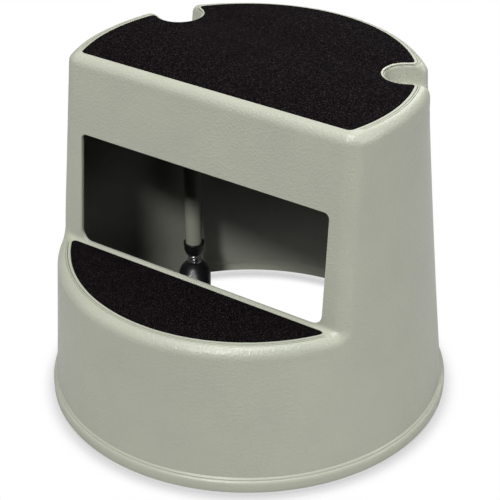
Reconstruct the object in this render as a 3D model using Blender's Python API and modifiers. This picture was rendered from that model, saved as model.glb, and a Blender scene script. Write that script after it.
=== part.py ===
"""Kick step stool: a moulded drum with a low step in front, two non-slip mats and three
spring-loaded swivel casters that sink into the drum when someone stands on it.

Metres, +Z up.  The floor is z = 0 and the drum's base circle is centred on the Z axis.  The low
step and the window in the riser face -Y.  Nobody stands on the stool, so it rests on its casters
and the base rim floats a few millimetres above the floor.
"""
import bpy
import bmesh
from math import asin, cos, pi, radians, sin
from mathutils import Matrix, Vector

# ---- driving dimensions: the drum ----
BASE_RADIUS = 0.235          # outside of the base flange
RIM_GAP = 0.005              # base rim above the floor while the casters carry the stool
TOP_Z = RIM_GAP + 0.3982     # upper tread plate
STEP_Z = RIM_GAP + 0.1762    # lower tread plate
WALL = 0.004                 # wall thickness of the moulding
FOOT_RADIUS = 0.2314         # drum wall produced down to the rim
HEAD_RADIUS = 0.2010         # drum wall at the upper tread
WALL_WAIST = 0.0055          # how far the wall's outline hollows between foot and head
FORWARD_LEAN = 0.0236        # the drum's centre line leans to the front, metres per metre
FLANGE_FACE = 0.010          # height of the flange's upright face
FLANGE_ROLL = 0.005          # radius of the roll from the flange to the wall
FLANGE_BORE = 0.2303         # inside radius at the rim
RISER_TOP_Y = -0.0815        # riser face at the upper tread
RISER_SLOPE = 0.0927         # riser face comes forward this much for each metre down
EDGE_ROLL = 0.011            # rounding of the treads' outer edges and the riser's corners
INNER_ROLL_SHARE = 0.4       # how much of the wall's thickness the inner rolls give up
DRUM_SIDES = 64
WALL_RINGS = 4

# ---- driving dimensions: window, grips and mats ----
WINDOW_HALF_WIDTH = 0.1645
WINDOW_TOP_Z = RIM_GAP + 0.3084
WINDOW_TOP_CORNER = 0.006
WINDOW_FOOT_CORNER = 0.013
SILL_RISE = 0.001            # the window's sill stands this high above the lower tread
GRIP_ANGLE = radians(28.5)   # from the side towards the back
GRIP_CENTRE_R = 0.174        # centre of the round inner end of each hand grip
GRIP_RADIUS = 0.025
GRIP_DEPTH = 0.034
GRIP_REACH = 0.070           # from the round end out past the wall
GRIP_FALL = 0.010            # the grip's floor falls this much over its reach
GRIP_SIDES = 24
GRIP_TAPER = 0.002
GRIP_FLOOR_ROLL = 0.014
MAT_THICKNESS = 0.0020
MAT_RECESS = 0.0018
MAT_CLEARANCE = 0.0005
TOP_MAT_RADIUS = 0.1861
TOP_MAT_CENTRE_Y = -0.0042
TOP_MAT_FRONT_Y = -0.0696
TOP_MAT_GRIP_RADIUS = 0.029
LOW_MAT_RADIUS = 0.2049
LOW_MAT_CENTRE_Y = 0.0011
LOW_MAT_BACK_Y = -0.1069
MAT_CORNER = 0.005

# ---- driving dimensions: casters, heights above the floor ----
GAP = 0.0003                 # clearance between pieces that touch
REAR_CASTER = (0.1505, 0.0940)
FRONT_CASTER_Y = -0.1770
CASTER_SIDES = 20
TRAIL = 0.016                # axle's offset from the swivel axis
WHEEL_RADIUS = 0.018
WHEEL_WIDTH = 0.0125
WHEEL_INNER_X = 0.0031       # inner face of each wheel, from the hood's middle plane
WHEEL_ROLL = 0.003
AXLE_RADIUS = 0.002
AXLE_HALF = 0.0175
HOOD_RADIUS = 0.0205
HOOD_ROLL = 0.007
HOOD_TOP_Z = 0.0598
HOOD_SKIRT_Z = 0.010
HOOD_CROWN = 0.0008          # the dome is cut flat this far below its crown
HOOD_SIDES = 20
HOOD_POCKET_RADIUS = 0.0192
HOOD_POCKET_X = (0.0026, 0.0186)
STEM_RADIUS = 0.004
STEM_FOOT_Z = 0.0400
STEM_TOP_Z = 0.0880
STEM_BORE = 0.0043
SEAT_RADIUS = 0.0090
SEAT_THICKNESS = 0.0012
CUP_FOOT_Z = 0.0710
CUP_WEB_Z = (0.0775, 0.0800)
CUP_TOP_Z = 0.0930
CUP_RADIUS = 0.01325
CUP_NOSE_RADIUS = 0.0108
CUP_POCKET_RADIUS = 0.0092
POST_RADIUS = 0.0105
POST_BORE = 0.0085
CLIP_RADIUS = 0.0065
CLIP_THICKNESS = 0.0012
SPRING_COIL_RADIUS = 0.0078
SPRING_WIRE_RADIUS = 0.0007
SPRING_TURNS = 3.5
SPRING_POINTS_PER_TURN = 12
SOCKET_RADIUS = 0.0150
SOCKET_DEPTH = 0.024
REAR_SOCKET_ROOF_Z = TOP_Z - 0.0430
FRONT_SOCKET_ROOF_Z = STEP_Z - WALL - 0.0010
SCREW_RADIUS = 0.0018
SCREW_HEAD_RADIUS = 0.0038
SCREW_HEAD_HEIGHT = 0.0022
SCREW_LENGTH = 0.0065

CASTERS = {                  # name: (x, y, heading of the trail in degrees, socket roof)
    "left_rear": (-REAR_CASTER[0], REAR_CASTER[1], -59.0, REAR_SOCKET_ROOF_Z),
    "right_rear": (REAR_CASTER[0], REAR_CASTER[1], -125.0, REAR_SOCKET_ROOF_Z),
    "front": (0.0, FRONT_CASTER_Y, 60.0, FRONT_SOCKET_ROOF_Z),
}

COLOURS = {                  # colour, roughness, metallic
    "moulding": ((0.36, 0.38, 0.31), 0.55, 0.0),
    "mat": ((0.010, 0.008, 0.008), 0.95, 0.0),
    "black_plastic": ((0.012, 0.012, 0.013), 0.35, 0.0),
    "steel": ((0.62, 0.62, 0.62), 0.25, 1.0),
    "wheel": ((0.05, 0.05, 0.05), 0.60, 0.0),
}

for old in list(bpy.data.objects):
    bpy.data.objects.remove(old, do_unlink=True)


def new_collection(name):
    """Make a collection in the scene."""
    group = bpy.data.collections.new(name)
    bpy.context.scene.collection.children.link(group)
    return group


PARTS = new_collection("kick_step_stool")
CUTTERS = new_collection("cutters")


# ---- modelling helpers ----
def material(name):
    """Return the named Principled material, made once."""
    found = bpy.data.materials.get(name)
    if found:
        return found
    colour, roughness, metallic = COLOURS[name]
    made = bpy.data.materials.new(name)
    made.use_nodes = True
    shader = made.node_tree.nodes["Principled BSDF"]
    shader.inputs["Base Color"].default_value = (*colour, 1.0)
    shader.inputs["Roughness"].default_value = roughness
    shader.inputs["Metallic"].default_value = metallic
    return made


def mesh_object(name, bm, group=None):
    """Put a bmesh into a new object of the given collection (the cutters' by default)."""
    mesh = bpy.data.meshes.new(name)
    bmesh.ops.recalc_face_normals(bm, faces=bm.faces)
    bm.to_mesh(mesh)
    bm.free()
    obj = bpy.data.objects.new(name, mesh)
    (group or CUTTERS).objects.link(obj)
    obj.hide_render = group is None
    obj.display_type = "WIRE" if group is None else "TEXTURED"
    return obj


def bake(obj):
    """Replace an object's mesh by its evaluated mesh and drop its modifiers."""
    bpy.context.view_layer.update()
    graph = bpy.context.evaluated_depsgraph_get()
    mesh = bpy.data.meshes.new_from_object(obj.evaluated_get(graph))
    obj.modifiers.clear()
    obj.data = mesh


def boolean(obj, other, operation):
    """Cut, join or intersect an object with another and keep the result as its mesh."""
    step = obj.modifiers.new(operation.lower(), "BOOLEAN")
    step.operation = operation
    step.solver = "EXACT"
    step.object = other
    bake(obj)


def turned(name, profile, sides, ring=False, group=None):
    """Turn a profile of (radius, z) points about Z: it runs down the outer side.

    A ring's profile is a closed loop; any other starts and ends on the axis.
    """
    bm = bmesh.new()
    points = [bm.verts.new((radius, 0.0, z)) for radius, z in profile]
    pairs = list(zip(points, points[1:]))
    if ring:
        pairs.append((points[-1], points[0]))
    for first, second in pairs:
        bm.edges.new((first, second))
    obj = mesh_object(name, bm, group)
    screw = obj.modifiers.new("turn", "SCREW")
    screw.axis = "Z"
    screw.angle = 2.0 * pi
    screw.steps = sides
    screw.render_steps = sides
    screw.use_merge_vertices = True
    screw.merge_threshold = 0.00001
    return obj


def cylinder(name, radius, low, high, sides=CASTER_SIDES, group=None):
    """Upright cylinder between two heights."""
    bm = bmesh.new()
    bmesh.ops.create_cone(bm, cap_ends=True, segments=sides, radius1=radius, radius2=radius,
                          depth=high - low)
    bmesh.ops.translate(bm, verts=bm.verts, vec=(0.0, 0.0, 0.5 * (low + high)))
    return mesh_object(name, bm, group)


def hull_bmesh(points):
    """Convex hull of points."""
    bm = bmesh.new()
    for point in points:
        bm.verts.new(point)
    hull = bmesh.ops.convex_hull(bm, input=bm.verts)
    spare = [item for item in hull["geom_interior"] if isinstance(item, bmesh.types.BMVert)]
    bmesh.ops.delete(bm, geom=spare, context="VERTS")
    bmesh.ops.dissolve_limit(bm, angle_limit=radians(0.5), verts=bm.verts, edges=bm.edges)
    return bm


def box(name, low, high):
    """Box cutter between two corners."""
    bm = bmesh.new()
    bmesh.ops.create_cube(bm, size=1.0)
    for vert in bm.verts:
        for axis in range(3):
            vert.co[axis] = low[axis] if vert.co[axis] < 0.0 else high[axis]
    return mesh_object(name, bm)


def finish(obj, material_name, smooth_angle=35.0):
    """Give a finished piece its material and its shading."""
    obj.data.materials.clear()
    obj.data.materials.append(material(material_name))
    obj.data.shade_smooth()
    obj.data.set_sharp_from_angle(angle=radians(smooth_angle))
    return obj


# ---- the drum ----
def wall_radius(z):
    """Outside radius of the drum's wall at a height."""
    rise = (z - RIM_GAP) / (TOP_Z - RIM_GAP)
    return FOOT_RADIUS + (HEAD_RADIUS - FOOT_RADIUS) * rise - WALL_WAIST * rise * (1.0 - rise)


def wall_profile(low, high, inset):
    """Points down the drum's wall between two heights, moved in by the inset."""
    heights = [high + (low - high) * step / WALL_RINGS for step in range(WALL_RINGS + 1)]
    return [(wall_radius(z) - inset, z) for z in heights]


def flange_profile():
    """Points down the outside of the base flange, which rolls over to the wall."""
    roll_z = RIM_GAP + FLANGE_FACE
    centre_r = BASE_RADIUS - FLANGE_ROLL
    roll = [(centre_r + FLANGE_ROLL * sin(turn), roll_z + FLANGE_ROLL * cos(turn))
            for turn in (radians(15.0), radians(45.0), radians(90.0))]
    return roll + [(BASE_RADIUS, RIM_GAP)]


def riser_y(z):
    """Front face of the riser at a height."""
    return RISER_TOP_Y - RISER_SLOPE * (TOP_Z - z)


def front_cutter(name, inset):
    """Block that removes the space above the low step, in front of the riser."""
    low, high = STEP_Z - inset, TOP_Z + 0.05
    block = box(name, (-0.30, -0.40, low), (0.30, 0.0, high))
    for vert in block.data.vertices:
        if vert.co.y > -0.2:
            vert.co.y = riser_y(vert.co.z) + inset
    return block


def roll_edges(obj, width, segments):
    """Round the edges of the treads and of the riser, above the base flange."""
    bm = bmesh.new()
    bm.from_mesh(obj.data)
    bmesh.ops.remove_doubles(bm, verts=bm.verts, dist=0.00001)
    sharp = [edge for edge in bm.edges
             if len(edge.link_faces) == 2 and edge.calc_face_angle() > radians(40.0)
             and min(vert.co.z for vert in edge.verts) > RIM_GAP + 0.05]
    bmesh.ops.bevel(bm, geom=sharp, offset=width, offset_type="OFFSET", segments=segments,
                    profile=0.5, affect="EDGES", clamp_overlap=True)
    bm.to_mesh(obj.data)
    bm.free()


def drum_form(name, inset, foot):
    """Solid of the stepped drum, moved in by the inset, on the given foot profile."""
    top = TOP_Z - inset
    wall_foot = foot[0][1]
    wall = wall_profile(wall_foot, top, inset)
    profile = [(0.0, top)] + wall[:-1] + foot + [(0.0, foot[-1][1])]
    form = turned(name, profile, DRUM_SIDES)
    bake(form)
    form.data.transform(Matrix(((1, 0, 0, 0), (0, 1, -FORWARD_LEAN, FORWARD_LEAN * RIM_GAP),
                                (0, 0, 1, 0), (0, 0, 0, 1))))
    boolean(form, front_cutter(name + "_front", inset), "DIFFERENCE")
    roll_edges(form, EDGE_ROLL - INNER_ROLL_SHARE * inset, 3)
    return form


def grip_block(name, side, grow):
    """Tapered trough of one hand grip, round at its inner end and open at the wall."""
    radius = GRIP_RADIUS + grow
    roll = GRIP_FLOOR_ROLL + grow
    floor_radius = radius - GRIP_TAPER - roll
    points = []
    for reach, fall in ((0.0, 0.0), (GRIP_REACH, GRIP_FALL)):
        floor_z = TOP_Z - GRIP_DEPTH - grow - fall
        outline = [(radius, TOP_Z + 0.02)]
        outline += [(floor_radius + roll * cos(turn), floor_z + roll - roll * sin(turn))
                    for turn in (0.0, radians(30.0), radians(60.0), radians(90.0))]
        for step in range(GRIP_SIDES):
            turn = 2.0 * pi * step / GRIP_SIDES
            points += [(GRIP_CENTRE_R + reach + r * cos(turn), r * sin(turn), z)
                       for r, z in outline]
    bm = hull_bmesh(points)
    turn = GRIP_ANGLE if side > 0 else pi - GRIP_ANGLE
    bmesh.ops.rotate(bm, verts=bm.verts, matrix=Matrix.Rotation(turn, 3, "Z"))
    return mesh_object(name, bm)


def window_cutter():
    """Round-cornered block that opens the riser."""
    bm = bmesh.new()
    bmesh.ops.create_cube(bm, size=1.0)
    low_z = STEP_Z + SILL_RISE
    for vert in bm.verts:
        vert.co.x *= 2.0 * WINDOW_HALF_WIDTH
        vert.co.y = -0.16 if vert.co.y < 0.0 else -0.03
        vert.co.z = low_z if vert.co.z < 0.0 else WINDOW_TOP_Z
    for corner, at_top in ((WINDOW_TOP_CORNER, True), (WINDOW_FOOT_CORNER, False)):
        along = [edge for edge in bm.edges
                 if abs(edge.verts[0].co.y - edge.verts[1].co.y) > 0.05
                 and len({vert.co.z for vert in edge.verts}) == 1
                 and edge.calc_face_angle() > radians(80.0)
                 and (edge.verts[0].co.z > 0.5 * (low_z + WINDOW_TOP_Z)) == at_top]
        bmesh.ops.bevel(bm, geom=along, offset=corner, segments=4, profile=0.5, affect="EDGES")
    return mesh_object("window_cutter", bm)


def flat_solid(name, outline, sharp_points, low, high, group=None):
    """Extrude an outline between two heights, its sharp points rounded in plan."""
    bm = bmesh.new()
    corners = [bm.verts.new((x, y, low)) for x, y in outline]
    bm.faces.new(corners)
    bm.verts.ensure_lookup_table()
    bmesh.ops.bevel(bm, geom=[corners[index] for index in sharp_points], offset=MAT_CORNER,
                    segments=3, profile=0.5, affect="VERTICES")
    lifted = bmesh.ops.extrude_face_region(bm, geom=list(bm.faces))["geom"]
    upper = [item for item in lifted if isinstance(item, bmesh.types.BMVert)]
    bmesh.ops.translate(bm, verts=upper, vec=(0.0, 0.0, high - low))
    return mesh_object(name, bm, group)


def arc(centre, radius, start, end, steps):
    """Points on an arc from one angle to another, in radians."""
    return [(centre[0] + radius * cos(start + (end - start) * step / steps),
             centre[1] + radius * sin(start + (end - start) * step / steps))
            for step in range(steps + 1)]


def top_mat_outline(grow):
    """Outline of the upper mat, and the indices of its sharp points."""
    radius = TOP_MAT_RADIUS + grow
    centre = (0.0, TOP_MAT_CENTRE_Y)
    front_y = TOP_MAT_FRONT_Y - grow
    notch = TOP_MAT_GRIP_RADIUS - grow
    start = asin((front_y - TOP_MAT_CENTRE_Y) / radius)
    half_mouth = asin(notch / radius)
    outline = arc(centre, radius, start, GRIP_ANGLE - half_mouth, 10)
    sharp = [0, len(outline) - 1]
    grip_end = arc((GRIP_CENTRE_R, 0.0), notch, -0.5 * pi, -1.5 * pi, 12)
    outline += [(x * cos(GRIP_ANGLE) - y * sin(GRIP_ANGLE),
                 x * sin(GRIP_ANGLE) + y * cos(GRIP_ANGLE)) for x, y in grip_end]
    sharp.append(len(outline))
    outline += arc(centre, radius, GRIP_ANGLE + half_mouth, 0.5 * pi, 12)
    half = len(outline)
    mirrored = [(-x, y) for x, y in reversed(outline[:-1])]
    last = half + len(mirrored) - 1
    return outline + mirrored, sharp + [last - index for index in sharp]


def low_mat_outline(grow):
    """Outline of the lower mat, and the indices of its sharp points."""
    radius = LOW_MAT_RADIUS + grow
    back = asin((LOW_MAT_BACK_Y + grow - LOW_MAT_CENTRE_Y) / radius)
    outline = arc((0.0, LOW_MAT_CENTRE_Y), radius, -pi - back, back, 36)
    return outline, [0, len(outline) - 1]


def mat(name, outline_of, plate_z):
    """Non-slip mat that lies in a shallow recess of its tread."""
    floor_z = plate_z - MAT_RECESS
    outline, sharp = outline_of(0.0)
    return finish(flat_solid(name, outline, sharp, floor_z + GAP, floor_z + GAP + MAT_THICKNESS,
                             PARTS), "mat")


def mat_recess(name, outline_of, plate_z):
    """Cutter for a mat's recess."""
    outline, sharp = outline_of(MAT_CLEARANCE)
    return flat_solid(name, outline, sharp, plate_z - MAT_RECESS, plate_z + 0.01)


def socket_screw_axis(x, y):
    """Direction from a caster's post towards the drum's axis, where its screw stands."""
    return Vector((-x, -y, 0.0)).normalized()


def place_along(obj, origin, direction):
    """Turn an upright object so that its +Z points along a direction from an origin."""
    obj.data.transform(Matrix.Translation(origin)
                       @ Vector(direction).to_track_quat("Z", "Y").to_matrix().to_4x4())


def build_shell():
    """One moulding: flange, wall, both treads, riser with its window, grips and sockets."""
    inner_foot = [(wall_radius(RIM_GAP + 0.012) - WALL, RIM_GAP + 0.012),
                  (FLANGE_BORE, RIM_GAP + 0.009), (FLANGE_BORE, RIM_GAP - 0.02)]
    shell = drum_form("shell", 0.0, flange_profile())
    hollow = drum_form("hollow", WALL, inner_foot)
    for side in (-1, 1):
        boolean(hollow, grip_block("grip_wall", side, WALL), "DIFFERENCE")
    boolean(shell, hollow, "DIFFERENCE")
    for name, (x, y, _, roof_z) in CASTERS.items():
        boss = cylinder(name + "_boss", SOCKET_RADIUS, roof_z - SOCKET_DEPTH, roof_z + WALL)
        boss.data.transform(Matrix.Translation((x, y, 0.0)))
        boolean(shell, boss, "UNION")
    for side in (-1, 1):
        boolean(shell, grip_block("grip_trough", side, 0.0), "DIFFERENCE")
    for name, (x, y, _, roof_z) in CASTERS.items():
        bore = cylinder(name + "_bore", POST_RADIUS + GAP, roof_z - SOCKET_DEPTH - 0.01, roof_z)
        bore.data.transform(Matrix.Translation((x, y, 0.0)))
        boolean(shell, bore, "DIFFERENCE")
        hole = cylinder(name + "_screw_hole", SCREW_RADIUS + GAP, 0.0, 0.03, 12)
        place_along(hole, (x, y, roof_z - 0.5 * SOCKET_DEPTH), socket_screw_axis(x, y))
        boolean(shell, hole, "DIFFERENCE")
    boolean(shell, window_cutter(), "DIFFERENCE")
    boolean(shell, mat_recess("top_recess", top_mat_outline, TOP_Z), "DIFFERENCE")
    boolean(shell, mat_recess("low_recess", low_mat_outline, STEP_Z), "DIFFERENCE")
    CUTTERS.objects.unlink(shell)
    PARTS.objects.link(shell)
    shell.hide_render = False
    shell.display_type = "TEXTURED"
    return finish(shell, "moulding")


# ---- one caster, modelled about its swivel axis with the trail along +X ----
def rounded_cylinder_profile(radius, half, roll, steps=4):
    """Profile of a solid cylinder with rolled rims, from its top end to its bottom end."""
    upper = [(radius - roll + roll * sin(0.5 * pi * step / steps),
              half - roll + roll * cos(0.5 * pi * step / steps)) for step in range(steps + 1)]
    lower = [(r, -z) for r, z in reversed(upper)]
    return [(0.0, half)] + upper + lower + [(0.0, -half)]


def axle_frame():
    """Matrix that lays an upright turned piece along the axle."""
    return Matrix.Translation((TRAIL, 0.0, WHEEL_RADIUS)) @ Matrix.Rotation(-0.5 * pi, 4, "X")


def mesh_points(bm, matrix):
    """Points of a bmesh under a matrix; the bmesh is freed."""
    points = [matrix @ vert.co for vert in bm.verts]
    bm.free()
    return points


def ring_points(profile, sides, matrix):
    """Points of a profile turned about Z, under a matrix."""
    return [matrix @ Vector((r * cos(2.0 * pi * step / sides), r * sin(2.0 * pi * step / sides), z))
            for step in range(sides) for r, z in profile]


def hood_form():
    """Rounded hood over the twin wheels: the hull of a dome and a rolled drum."""
    dome = bmesh.new()
    bmesh.ops.create_uvsphere(dome, u_segments=HOOD_SIDES, v_segments=HOOD_SIDES // 2,
                              radius=HOOD_RADIUS)
    dome_z = HOOD_TOP_Z - HOOD_RADIUS + HOOD_CROWN
    points = mesh_points(dome, Matrix.Translation((0.0, 0.0, dome_z)))
    points += ring_points(rounded_cylinder_profile(HOOD_RADIUS, HOOD_RADIUS, HOOD_ROLL, 3)[1:-1],
                          HOOD_SIDES, axle_frame())
    bm = hull_bmesh(points)
    for height, up in ((HOOD_TOP_Z, 1.0), (HOOD_SKIRT_Z, -1.0)):
        cut = bmesh.ops.bisect_plane(bm, geom=bm.verts[:] + bm.edges[:] + bm.faces[:],
                                     plane_co=(0.0, 0.0, height), plane_no=(0.0, 0.0, up),
                                     clear_outer=True)
        rim = [item for item in cut["geom_cut"] if isinstance(item, bmesh.types.BMEdge)]
        bmesh.ops.edgeloop_fill(bm, edges=rim)
    return bm


def wheel_pocket(side):
    """Space for one wheel, open at the hood's skirt."""
    near, far = HOOD_POCKET_X
    points = []
    for drop in (0.0, 0.03):
        place = Matrix.Translation((0.0, 0.0, -drop)) @ axle_frame()
        points += ring_points([(HOOD_POCKET_RADIUS, side * near), (HOOD_POCKET_RADIUS, side * far)],
                              CASTER_SIDES, place)
    return mesh_object("wheel_pocket", hull_bmesh(points))


def build_hood(name):
    """Black hood with two wheel pockets, the swivel bore and the axle's bore."""
    hood = mesh_object(name, hood_form(), PARTS)
    for side in (-1, 1):
        boolean(hood, wheel_pocket(side), "DIFFERENCE")
    boolean(hood, cylinder("swivel_bore", STEM_BORE, STEM_FOOT_Z - GAP, 0.08), "DIFFERENCE")
    bore = cylinder("axle_bore", AXLE_RADIUS + GAP, -AXLE_HALF - GAP, AXLE_HALF + GAP, 12)
    bore.data.transform(axle_frame())
    boolean(hood, bore, "DIFFERENCE")
    return finish(hood, "black_plastic", 50.0)


def build_wheel(name, side):
    """One of the twin wheels, with a rolled tread and a hub bore."""
    bore = AXLE_RADIUS + GAP
    half = 0.5 * WHEEL_WIDTH
    roll = [(WHEEL_RADIUS - WHEEL_ROLL + WHEEL_ROLL * sin(turn),
             half - WHEEL_ROLL + WHEEL_ROLL * cos(turn))
            for turn in (0.0, radians(90.0))]
    dish_r, dish_z, hub_r = 0.0125, half - 0.0025, 0.0050
    upper = [(bore, half), (hub_r, half), (hub_r, dish_z), (dish_r, dish_z)] + roll
    wheel = turned(name, upper + [(r, -z) for r, z in reversed(upper)], CASTER_SIDES, True, PARTS)
    bake(wheel)
    centre = side * (WHEEL_INNER_X + half)
    wheel.data.transform(Matrix.Translation((0.0, centre, 0.0)) @ axle_frame())
    return finish(wheel, "wheel")


def build_spring(name, low, high):
    """Coil spring round the stem, a wire along a helix between two heights."""
    curve = bpy.data.curves.new(name, "CURVE")
    curve.dimensions = "3D"
    curve.bevel_depth = SPRING_WIRE_RADIUS
    curve.bevel_resolution = 2
    curve.use_fill_caps = True
    steps = int(SPRING_TURNS * SPRING_POINTS_PER_TURN)
    line = curve.splines.new("POLY")
    line.points.add(steps)
    first, last = low + SPRING_WIRE_RADIUS, high - SPRING_WIRE_RADIUS
    for step, point in enumerate(line.points):
        turn = 2.0 * pi * SPRING_TURNS * step / steps
        point.co = (SPRING_COIL_RADIUS * cos(turn), SPRING_COIL_RADIUS * sin(turn),
                    first + (last - first) * step / steps, 1.0)
    guide = bpy.data.objects.new(name + "_line", curve)
    CUTTERS.objects.link(guide)
    bpy.context.view_layer.update()
    graph = bpy.context.evaluated_depsgraph_get()
    mesh = bpy.data.meshes.new_from_object(guide.evaluated_get(graph))
    bpy.data.objects.remove(guide)
    bm = bmesh.new()
    bm.from_mesh(mesh)
    bmesh.ops.remove_doubles(bm, verts=bm.verts, dist=0.00001)
    return finish(mesh_object(name, bm, PARTS), "steel")


def build_stem(name):
    """Steel stem with a groove for its clip."""
    groove_low = CUP_WEB_Z[1] + GAP
    groove_high = groove_low + CLIP_THICKNESS + 2.0 * GAP
    neck = STEM_RADIUS - 0.0006
    chamfer = 0.0008
    profile = [(0.0, STEM_TOP_Z), (STEM_RADIUS - chamfer, STEM_TOP_Z),
               (STEM_RADIUS, STEM_TOP_Z - chamfer), (STEM_RADIUS, groove_high),
               (neck, groove_high), (neck, groove_low), (STEM_RADIUS, groove_low),
               (STEM_RADIUS, STEM_FOOT_Z), (0.0, STEM_FOOT_Z)]
    return finish(turned(name, profile, 16, False, PARTS), "steel")


def washer(name, radius, bore, low, thickness, material_name):
    """Flat ring."""
    high = low + thickness
    return finish(turned(name, [(radius, high), (radius, low), (bore, low), (bore, high)],
                         CASTER_SIDES, True, PARTS), material_name)


def build_cup(name):
    """Guide cup: holds the post's end, guides the stem and houses the spring's top."""
    web_low, web_high = CUP_WEB_Z
    shoulder_z = web_low + 0.0005
    profile = [(CUP_RADIUS, CUP_TOP_Z), (CUP_RADIUS, shoulder_z), (CUP_NOSE_RADIUS, CUP_FOOT_Z),
               (CUP_POCKET_RADIUS, CUP_FOOT_Z), (CUP_POCKET_RADIUS, web_low),
               (STEM_BORE, web_low), (STEM_BORE, web_high), (POST_RADIUS + GAP, web_high),
               (POST_RADIUS + GAP, CUP_TOP_Z)]
    return finish(turned(name, profile, CASTER_SIDES, True, PARTS), "black_plastic")


def build_post(name, x, y, roof_z):
    """Tube from its socket in the moulding down into the guide cup."""
    low, high = CUP_WEB_Z[1] + GAP, roof_z - GAP
    post = turned(name, [(POST_RADIUS, high), (POST_RADIUS, low), (POST_BORE, low),
                         (POST_BORE, high)], CASTER_SIDES, True, PARTS)
    bake(post)
    hole = cylinder(name + "_hole", SCREW_RADIUS + GAP, 0.0, 0.02, 12)
    place_along(hole, (0.0, 0.0, roof_z - 0.5 * SOCKET_DEPTH), socket_screw_axis(x, y))
    boolean(post, hole, "DIFFERENCE")
    return finish(post, "moulding")


def build_screw(name, x, y, roof_z):
    """Self-tapping screw that holds a post in its socket, driven from the drum's middle."""
    head_z = SOCKET_RADIUS + GAP
    tip_z = head_z - SCREW_LENGTH
    profile = [(0.0, head_z + SCREW_HEAD_HEIGHT),
               (0.7 * SCREW_HEAD_RADIUS, head_z + SCREW_HEAD_HEIGHT),
               (SCREW_HEAD_RADIUS, head_z + 0.5 * SCREW_HEAD_HEIGHT),
               (SCREW_HEAD_RADIUS, head_z), (SCREW_RADIUS, head_z),
               (SCREW_RADIUS, tip_z), (0.0, tip_z)]
    screw = turned(name, profile, 12, False, PARTS)
    bake(screw)
    slot = box(name + "_slot", (-0.01, -0.0004, head_z + 0.6 * SCREW_HEAD_HEIGHT),
               (0.01, 0.0004, head_z + 0.01))
    boolean(screw, slot, "DIFFERENCE")
    place_along(screw, (0.0, 0.0, roof_z - 0.5 * SOCKET_DEPTH), socket_screw_axis(x, y))
    return finish(screw, "steel")


def build_axle(name):
    """Steel pin through the hood's web and both wheels."""
    axle = cylinder(name, AXLE_RADIUS, -AXLE_HALF, AXLE_HALF, 12, PARTS)
    axle.data.transform(axle_frame())
    return finish(axle, "steel")


def move_origin(obj, point):
    """Put an object's origin on a point of its own frame without moving its mesh."""
    obj.data.transform(Matrix.Translation(-Vector(point)))
    obj.location = point


def build_caster(name, x, y, heading, roof_z):
    """Post, cup, spring, stem, hood and wheels of one caster, hung from an empty."""
    mast = bpy.data.objects.new(name + "_mast", None)
    mast.location = (x, y, 0.0)
    swivel = bpy.data.objects.new(name + "_swivel", None)
    swivel.parent = mast
    swivel.rotation_euler.z = radians(heading)
    for empty in (mast, swivel):
        PARTS.objects.link(empty)
    seat_low = HOOD_TOP_Z + GAP
    spring_low = seat_low + SEAT_THICKNESS + GAP
    fixed = [
        build_post(name + "_post", x, y, roof_z),
        build_screw(name + "_post_screw", x, y, roof_z),
        build_cup(name + "_guide_cup"),
        build_spring(name + "_spring", spring_low, CUP_WEB_Z[0] - GAP),
        build_stem(name + "_stem"),
        washer(name + "_spring_seat", SEAT_RADIUS, STEM_BORE, seat_low, SEAT_THICKNESS, "steel"),
        washer(name + "_stem_clip", CLIP_RADIUS, STEM_RADIUS - GAP, CUP_WEB_Z[1] + 2.0 * GAP,
               CLIP_THICKNESS, "steel"),
    ]
    turning = [build_hood(name + "_hood")]
    rolling = [build_axle(name + "_axle"), build_wheel(name + "_left_wheel", 1),
               build_wheel(name + "_right_wheel", -1)]
    for piece in rolling:
        move_origin(piece, (TRAIL, 0.0, WHEEL_RADIUS))
    for piece in fixed:
        piece.parent = mast
    for piece in turning + rolling:
        piece.parent = swivel


build_shell()
mat("upper_tread_mat", top_mat_outline, TOP_Z)
mat("lower_tread_mat", low_mat_outline, STEP_Z)
for caster_name, placing in CASTERS.items():
    build_caster(caster_name, *placing)
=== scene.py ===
from math import cos, pi, radians, sin

import bmesh
import bpy
import numpy as np
from mathutils import Matrix, Vector


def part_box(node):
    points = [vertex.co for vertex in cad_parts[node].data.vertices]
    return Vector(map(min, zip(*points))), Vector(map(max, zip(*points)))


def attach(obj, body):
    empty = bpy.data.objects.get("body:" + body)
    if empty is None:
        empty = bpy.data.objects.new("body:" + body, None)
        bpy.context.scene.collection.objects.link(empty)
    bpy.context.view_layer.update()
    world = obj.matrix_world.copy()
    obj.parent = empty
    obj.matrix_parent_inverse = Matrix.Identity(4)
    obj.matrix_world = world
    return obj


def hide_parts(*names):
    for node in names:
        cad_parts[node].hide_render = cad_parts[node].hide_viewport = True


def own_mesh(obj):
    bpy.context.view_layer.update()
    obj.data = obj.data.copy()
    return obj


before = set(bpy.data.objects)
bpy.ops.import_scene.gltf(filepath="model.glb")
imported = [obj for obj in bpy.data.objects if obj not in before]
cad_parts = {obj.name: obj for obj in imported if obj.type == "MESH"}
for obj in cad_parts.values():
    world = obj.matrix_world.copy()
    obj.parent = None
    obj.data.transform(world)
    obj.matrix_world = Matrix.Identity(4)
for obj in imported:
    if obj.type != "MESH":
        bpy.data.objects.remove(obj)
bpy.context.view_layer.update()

# ---- the drum's numbers, in metres ----
shell_low, shell_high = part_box("shell")
GAP = shell_low.z               # the base rim's height above the floor at rest
TOP = shell_high.z
STEP = GAP + 0.1762             # height of the low step
WALL = 0.004
FOOT_RADIUS = 0.2314
HEAD_RADIUS = 0.2010
WAIST = 0.0055                  # how far the wall bows in between foot and head
LEAN = 0.0236                   # shift of the wall's centre to the front per unit of height
RISER_TOP_Y = -0.0815
RISER_SLOPE = 0.0927
RISER_EDGE = 0.011              # rounding between the riser and the upper tread
STEP_FILLET = 0.005             # rounding between the riser and the low step
STEP_RIM = 0.012                # rounding of the low step's rim
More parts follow.
